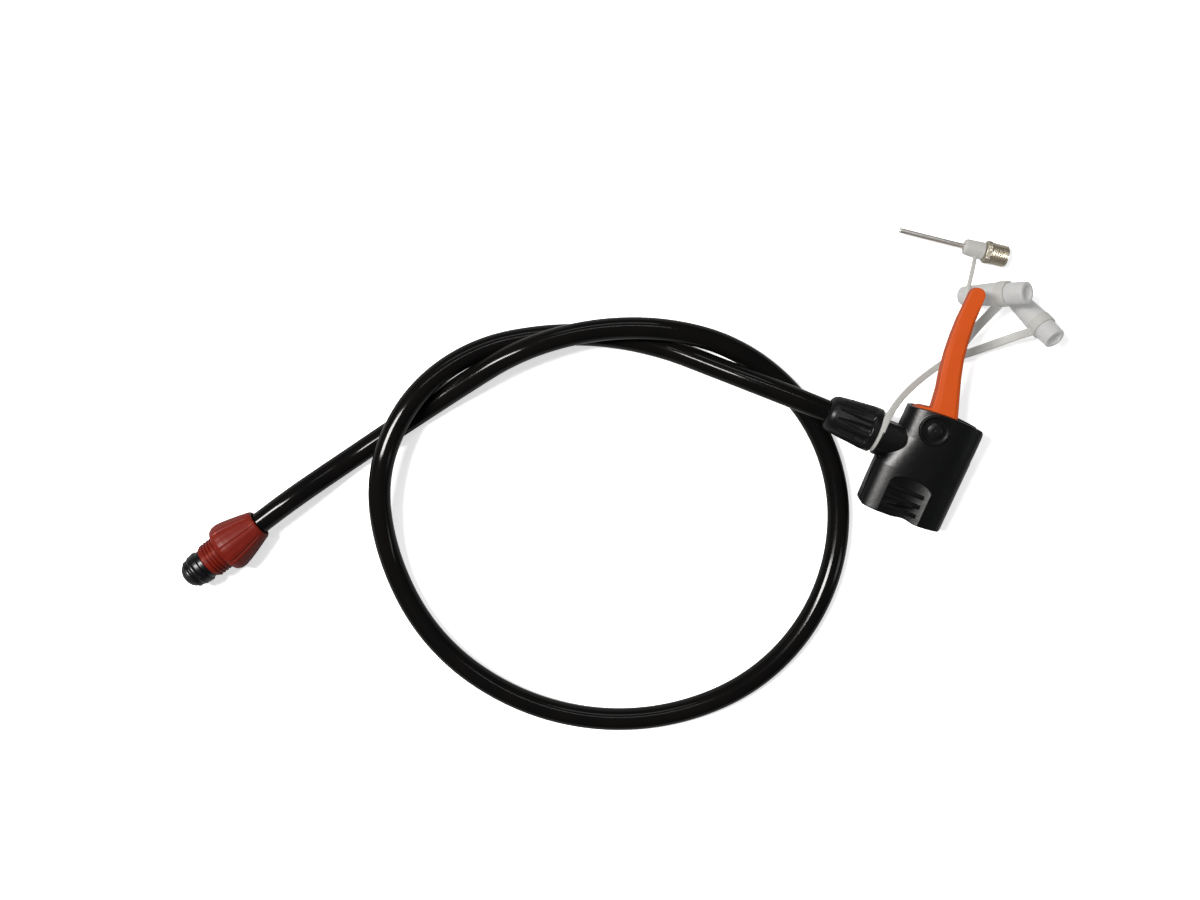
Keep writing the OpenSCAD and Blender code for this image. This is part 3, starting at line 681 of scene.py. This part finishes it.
# ------------------------------------------------------------------ pump fitting
# Profiles here and below: x, radius, and a corner radius where it differs from the common one.
NUT_PROFILE = [
    (0.9, 4.4), (0.9, 5.05, 0.3), (1.5, 5.5, 0.6), (3, 6.02, 1), (5, 6.7, 2), (8, 7.65, 3),
    (11, 8.5, 3), (13.4, 9.0, 3), (15, 8.9, 1.2), (16.3, 8.3, 0.8), (17.35, 6.4, 0.15),
    (17.6, 6.0, 0.1), (17.75, 6.4, 0.1), (22.5, 6.4, 0.1), (22.6, 5.85, 0.1), (22.9, 5.95, 0.1),
    (23.4, 5.85, 0.15), (23.7, 5.35, 0.1), (23.7, 4.66), (2.5, 4.66, 0), (2.5, 4.4, 0),
]
NUT_FACET = 40.0                        # nine facets
NUT_GRIP_END = 17.2                     # facets before this x, thread after it
PLUG_PROFILE = [
    (3.4, 1.5), (3.4, 2.3), (5.2, 2.7, 0.05), (5.6, 2.4, 0.05), (7.6, 2.7, 0.05), (8, 2.4, 0.05),
    (10, 2.7, 0.05), (10.4, 2.4, 0.05), (12.1, 2.4, 0.05), (12.1, 4.6), (23.85, 4.6, 0.05),
    (23.85, 5.4), (25.2, 5.4, 0.15), (25.5, 5.95, 0.25), (27.2, 5.95, 0.3), (27.2, 4.08, 0.15),
    (29, 4.08, 0.15), (29, 5.35, 0.15), (29.4, 5.35, 0.15), (29.4, 3.63, 0.15),
    (31.1, 3.63, 0.15), (31.1, 4.65, 0.3), (31.8, 4.2, 0.6), (32.5, 3.5, 0.6), (33.1, 2.4, 0.5),
    (33.2, 1.5, 0.1),
]
# object, CAD node, x, ring radius, section radius
SEAL_RINGS = (("seal_ring_rear", "plug_oring_rear", 28.1, 4.95, 0.85),
              ("seal_ring_front", "plug_oring_front", 30.25, 4.45, 0.8))


def nut_relief(x, radius, angle):
    """Facets with a narrow groove at each corner, and a helical thread beyond them."""
    outside = radius > 4.9
    half = NUT_FACET / 2
    from_groove = (np.degrees(angle) + half) % NUT_FACET - half
    across = np.abs(from_groove) / half             # 0 at the groove, 1 at mid facet
    grip = fade(x - 1.6, 2.2) * fade(16.7 - x, 1.1)
    facet = radius * (1 - grip * 0.018 * (across ** 2))
    groove = 0.34 * np.exp(-(from_groove / 2.0) ** 2) * grip
    gripped = np.where(outside & (x < NUT_GRIP_END), facet - groove, radius)
    threaded = fade(x - 17.75, 0.5) * fade(22.5 - x, 0.5)
    cut = thread_cut(x, angle, start=17.6, pitch=1.25, depth=0.62, gain=1.25, offset=0.18,
                     ceiling=0.9)
    return np.where(outside & (x >= NUT_GRIP_END), radius - cut * threaded, gripped)


def build_nut():
    obj = lathe("screw_nut_red", PUMP, NUT_PROFILE, around=288, corner=0.1, step=0.4,
                relief=nut_relief, fine=(NUT_GRIP_END, 23, 0.09, 5.0))
    carry(obj, "screw_nut", RED, "pump_nut")


def build_plug():
    obj = lathe("pump_plug_black", PUMP, PLUG_PROFILE, around=144, corner=0.12, step=0.4)
    carry(obj, "hose_and_head", PLUG_BLACK, "pump_plug")


def build_seal_rings():
    for name, node, x, ring_radius, section in SEAL_RINGS:
        turns = [2 * math.pi * k / 28 for k in range(28)]
        profile = [(x + section * math.cos(a), ring_radius + section * math.sin(a))
                   for a in turns]
        obj = lathe(name, PUMP, profile, around=144, corner=0, step=1)
        carry(obj, "hose_and_head", RING_RUBBER, node)


# ------------------------------------------------------------------ valve head
# The lever from its pivot: distances along +Y, then half widths or middle-line x at each.
LEVER_HALF = ([4, 7, 13, 26, 38, 44, 47.5], [5, 4.7, 4.05, 3.35, 2.95, 2.7, 2.6])
LEVER_BOW = ([4, 7, 13, 19, 26, 32, 38, 47.5], [2.4, 1.9, 0.4, -1.4, -3, -3.8, -4.3, -4.4])
LEVER_THICK = ([4, 8, 52], [3.5, 3.5, 2.0])         # half thickness
COLLAR_PROFILE = [
    (-37, 4.15), (-37, 4.95, 0.3), (-36.6, 5.5, 0.4), (-36, 6.0, 0.6), (-35, 6.45, 1.2),
    (-30, 7.1, 3), (-26, 7.5, 3), (-22.4, 7.9, 1.5), (-18.9, 7.9, 0.35), (-18.9, 5.46),
    (-25.9, 5.46, 0), (-25.9, 4.15, 0),
]
COLLAR_FLUTE = 30.0                     # twelve flutes
PIN_PROFILE = [
    (-9, 0.02, 0), (-9, 2.0, 0.2), (7.9, 2.0, 0), (7.9, 2.85, 0.1), (8.35, 2.85, 0.2),
    (8.75, 2.4, 0.5), (8.98, 1.4, 0.6), (9.05, 0.02, 0),
]


def crease_weight(x, y, z):
    """The creases where the barrel starts and stops narrowing."""
    lower = fade(1.7 - np.abs(y + 8.6), 0.8) * fade(x + 13.5, 0.8)
    upper = (fade(1.5 - np.abs(y - 3.0), 0.8)
             * fade(np.hypot(x - PIVOT[0], y - PIVOT[1]) - 5.6, 0.4) * fade(x + 7.5, 0.8))
    return (lower + upper) * fade(np.hypot(x, z) - 6.6, 0.4)


def build_shell():
    obj = copy_node("head_body", "head_shell")
    soften(obj, voxel=by_quality(0.13), passes=by_quality(5))
    smooth_where(obj, HEAD, crease_weight, passes=by_quality(50))
    carry(obj, "hose_and_head", BLACK, "head_body")


def collar_relief(x, radius, angle):
    """Scooped flutes that deepen towards the head and stop short of the rim."""
    half_pitch = COLLAR_FLUTE / 2
    from_middle = (np.degrees(angle) + 1.0 + half_pitch) % COLLAR_FLUTE - half_pitch
    opening = fade(x + 33.5, 8.0)
    end = fade(-21.1 - x, 0.9)
    end = end * end * (3 - 2 * end)
    depth = 0.95 * np.sqrt(opening) * end
    half_width = 4.0 + 7.5 * opening                # degrees
    scoop = np.clip(1 - (from_middle / half_width) ** 2, 0, 1)
    return np.where(radius > 4.4, radius - depth * scoop, radius)


def build_collar():
    obj = lathe("collar_nut_fluted", HEAD, COLLAR_PROFILE, around=288, corner=0.12, step=0.25,
                relief=collar_relief)
    carry(obj, "collar", COLLAR_BLACK, "collar_nut")


def shape_lever(obj):
    """Cuts a shallow bevel down the lever's -X side and rolls off its +X side."""
    local = HEAD.to_local(read_points(obj.data) / MM) - PIVOT
    x, y, z = local[:, 0], local[:, 1], local[:, 2]
    half = np.interp(y, *LEVER_HALF)
    across = (x - (np.interp(y, *LEVER_BOW) - half)) / (2 * half)   # 0 at -X edge, 1 at +X
    on_arm = fade(y - 4.0, 2.0)
    bevel = 0.24 * np.clip(1 - across / 0.24, 0, 1) * (1 - fade(y - 24, 20)) * on_arm
    roll = 0.55 * fade(across - 0.84, 0.16) * on_arm * (1 - fade(y - 40, 6))
    depth_share = np.clip(np.abs(z) / np.interp(y, *LEVER_THICK), 0, 1)
    local[:, 2] = z - np.sign(z) * depth_share * (bevel + roll)
    points = HEAD.to_scene(local + PIVOT) * MM
    obj.data.vertices.foreach_set("co", points.reshape(-1))
    obj.data.update()


def build_lever():
    obj = copy_node("lever", "lever_orange")
    soften(obj, voxel=by_quality(0.12), passes=9)
    shape_lever(obj)
    carry(obj, "lever_arm", ORANGE, "lever")


def build_pivot_pin():
    """The pin's local X is the head's +Z, with the domed end uppermost."""
    axis_x, axis_y, axis_z = HEAD.rotation.T
    place = Place(HEAD.origin - SHIFT + HEAD.rotation @ PIVOT,
                  np.stack([axis_z, axis_y, -axis_x], 1))
    obj = lathe("pivot_pin_domed", place, PIN_PROFILE, around=96, corner=0.1, step=0.35)
    carry(obj, "hose_and_head", PIN_BLACK, "pivot_pin")


# ------------------------------------------------------------------ tether
FORK = np.array([126.9, 34, 4.5])       # where the strap from the head splits in three
# four Bezier points, steps, width, thickness
STRAPS = (
    # head to fork
    ((97.2, 6.3, 19.9), (101.6, 17.3, 19.5), (110.4, 23.6, 8), FORK, 48, 2.4, 1.2),
    # fork to short nozzle
    (FORK + (-1, -0.8, 0), (133, 34.3, 3.5), (146, 40.3, 5), (151.4, 41.5, 12.7), 40, 3.0, 1.2),
    # fork to long nozzle
    (FORK + (-0.5, -1.2, 0.05), (130.7, 40.2, 4), (136.2, 46.7, 10), (139.6, 51.1, 14.2),
     36, 3.2, 1.2),
    # fork to needle
    (FORK + (0, -1.2, -0.05), (128, 46, 4), (129.5, 60, 16.5), (134.2, 69.6, 4.1), 48, 1.5, 1.1),
)
SLEEVE_HALF = 1.9                       # half the length of a nozzle sleeve
HEAD_BAND = [(-18.75, 5.5), (-18.75, 7.2), (-17.5, 7.2), (-17.5, 5.5)]
NEEDLE_SLEEVE = [(23.6, 1.0), (23.6, 2.3, 0.3), (24.3, 2.85, 0.4), (30.9, 3.1, 0.25),
                 (30.9, 1.0)]


def tether_band(place, profile):
    """Points and faces of one ring of the tether."""
    obj = lathe("tmp", place, profile, around=96, corner=0.12, step=0.4)
    part = (read_points(obj.data) / MM, face_corners(obj.data))
    bpy.data.objects.remove(obj)
    return part


def build_tether():
    parts = [sweep(bezier(*path, steps=steps) + SHIFT, strap_section(width, thick))
             for *path, steps, width, thick in STRAPS]
    parts.append(tether_band(HEAD, HEAD_BAND))
    for *_, place, _length, seat in NOZZLES:
        start, end = seat - SLEEVE_HALF, seat + SLEEVE_HALF
        parts.append(tether_band(place, [(start, 3.72), (start, 4.5), (end, 4.5), (end, 3.72)]))
    parts.append(tether_band(NEEDLE, NEEDLE_SLEEVE))
    faces, first = [], 0
    for part_points, part_faces in parts:
        faces += [tuple(i + first for i in face) for face in part_faces]
        first += len(part_points)
    obj = add_object("tether_milky", np.concatenate([p for p, _ in parts]), faces)
    fix_normals(obj)
    soften(obj, voxel=by_quality(0.11), passes=5)
    carry(obj, "hose_and_head", TETHER_MILKY, "tether")


# ------------------------------------------------------------------ adapters
GROOVE_HALF = 1.96                      # half the length of the groove under a nozzle sleeve
STEM_PROFILE = [(0, 0.55), (0, 0.78, 0.05), (0.25, 0.93, 0.1), (36.4, 0.93, 0), (36.4, 0.55, 0)]
BASE_PROFILE = [
    (31.1, 0.94), (31.1, 3.65, 0.2), (31.4, 4.0, 0.15), (33.0, 4.0, 0.15), (33.3, 3.7, 0.1),
    (33.3, 3.35, 0.1), (33.65, 3.35, 0.1), (33.75, 3.85, 0.1), (38.9, 3.85, 0.1),
    (39.4, 3.4, 0.1), (39.4, 1.6, 0.15), (36.2, 1.6, 0.1), (36.2, 0.94, 0),
]


def build_nozzles():
    for name, node, body, place, length, seat in NOZZLES:
        start, end = seat - GROOVE_HALF, seat + GROOVE_HALF
        profile = [
            (0.0, 2.0, 0.2), (0.0, 2.75, 0.5), (0.3, 3.15, 0.5), (1.0, NOZZLE_RIM, 0.9),
            (seat - 2.4, 4.25, 0.3), (start, 4.2, 0.1), (start, 3.65, 0.1), (end, 3.65, 0.1),
            (end, 3.85, 0.1), (length - 0.3, 3.85, 0.3), (length, 3.6, 0.2),
            (length, 2.6, 0.15), (length - 9, 2.6, 0.1), (length - 9, 2.0, 0.1),
        ]
        obj = lathe(name, place, profile, around=128, corner=0.12, step=0.4)
        carry(obj, body, NOZZLE_MILKY, node)


def needle_base_relief(x, radius, angle):
    """A crossed knurl on the rim and a helical thread beyond it."""
    outside = radius > 3.0
    knurled = fade(x - 31.3, 0.15) * fade(33.1 - x, 0.15)
    teeth = 40 * angle / (2 * math.pi)
    diamonds = np.maximum(triangle_wave(teeth + x * 0.9), triangle_wave(teeth - x * 0.9))
    knurl = radius - 0.2 * knurled * (diamonds - 0.3)
    cut = thread_cut(x, angle, start=33.6, pitch=0.794, depth=0.42, gain=1.2, offset=0.12,
                     ceiling=1)
    thread = radius - cut * fade(x - 33.7, 0.3)
    return np.where(outside & (x > 33.55), thread, np.where(outside, knurl, radius))


def build_needle():
    obj = lathe("needle_stem", NEEDLE, STEM_PROFILE, around=64, corner=0.05, step=0.5)
    carry(obj, "ball_needle", STEEL, "needle_tube")
    obj = lathe("needle_base_threaded", NEEDLE, BASE_PROFILE, around=320, corner=0.08, step=0.3,
                relief=needle_base_relief, fine=(31.2, 39.4, 0.06, 3.0))
    carry(obj, "ball_needle", NICKEL, "needle_base")


# ------------------------------------------------------------------ floor, light and camera
FLOOR_HALF, FLOOR_Z = 4, -0.0001        # metres
CAMERA_HEIGHT = 450.0
VIEW_WIDTH = 433.2                      # width seen at floor level
SENSOR = 36.0


def floor_material():
    """Pale and glowing to the camera, darker to every other ray."""
    material = bpy.data.materials.new("pale_floor")
    material.use_nodes = True
    tree = material.node_tree
    shader = tree.nodes["Principled BSDF"]
    path = tree.nodes.new("ShaderNodeLightPath")
    for key, others, camera in (("Base Color", 0.3, 0.86), ("Emission Strength", 0.05, 0.62)):
        node = tree.nodes.new("ShaderNodeMapRange")
        node.inputs["To Min"].default_value = others
        node.inputs["To Max"].default_value = camera
        tree.links.new(path.outputs["Is Camera Ray"], node.inputs["Value"])
        tree.links.new(node.outputs["Result"], shader.inputs[key])
    shader.inputs["Roughness"].default_value = 0.9
    shader.inputs["Specular IOR Level"].default_value = 0.1
    shader.inputs["Emission Color"].default_value = (1, 1, 1, 1)
    return material


def build_floor():
    h = FLOOR_HALF
    mesh = bpy.data.meshes.new("floor")
    mesh.from_pydata([(x, y, FLOOR_Z) for x, y in ((-h, -h), (h, -h), (h, h), (-h, h))],
                     [], [(0, 1, 2, 3)])
    floor = link_object("floor", mesh)
    mesh.materials.append(floor_material())


def area_light(name, place, aim, size, power, colour=(1, 1, 1)):
    """A rectangular light, in metres and watts."""
    light = bpy.data.lights.new(name, "AREA")
    light.shape = "RECTANGLE"
    light.size, light.size_y = size
    light.energy = power
    light.color = colour
    obj = bpy.data.objects.new(name, light)
    obj.location = place
    obj.rotation_euler = (Vector(aim) - Vector(place)).to_track_quat("-Z", "Y").to_euler()
    bpy.context.scene.collection.objects.link(obj)


def build_lights():
    area_light("key_left", place=(-0.46, 0.12, 0.87), aim=(0.05, 0, 0), size=(0.13, 0.42),
               power=19.0, colour=(1.0, 0.985, 0.96))
    area_light("strip_over", place=(0.10, 0.42, 0.95), aim=(0.1, 0, 0), size=(0.5, 0.05),
               power=1.3)
    area_light("fill_right", place=(0.95, -0.3, 0.6), aim=(0, 0, 0), size=(0.12, 0.5),
               power=1.0, colour=(0.96, 0.98, 1.0))
    area_light("fill_top", place=(0.0, 1.0, 0.8), aim=(0, 0, 0), size=(0.6, 0.15), power=1.6)
    world = bpy.data.worlds.new("studio")
    world.use_nodes = True
    background = world.node_tree.nodes["Background"]
    background.inputs["Color"].default_value = (0.93, 0.96, 1.0, 1)
    background.inputs["Strength"].default_value = 0.065
    bpy.context.scene.world = world


def build_camera():
    """Looks straight down."""
    camera = bpy.data.cameras.new("camera")
    camera.sensor_width = SENSOR
    camera.lens = SENSOR * CAMERA_HEIGHT / VIEW_WIDTH
    camera.clip_start = 0.01
    camera.clip_end = 20
    obj = link_object("camera", camera)
    obj.location = (SHIFT[0] * MM, SHIFT[1] * MM, CAMERA_HEIGHT * MM)
    obj.rotation_euler = (0, 0, 0)
    bpy.context.scene.camera = obj
    bpy.context.scene.view_settings.view_transform = "Standard"


build_hose()
build_nut()
build_plug()
build_seal_rings()
build_shell()
build_collar()
build_lever()
build_pivot_pin()
build_tether()
build_nozzles()
build_needle()
for _node, _material in PAINTED_NODES:
    paint_node(_node, _material)
build_floor()
build_lights()
build_camera()
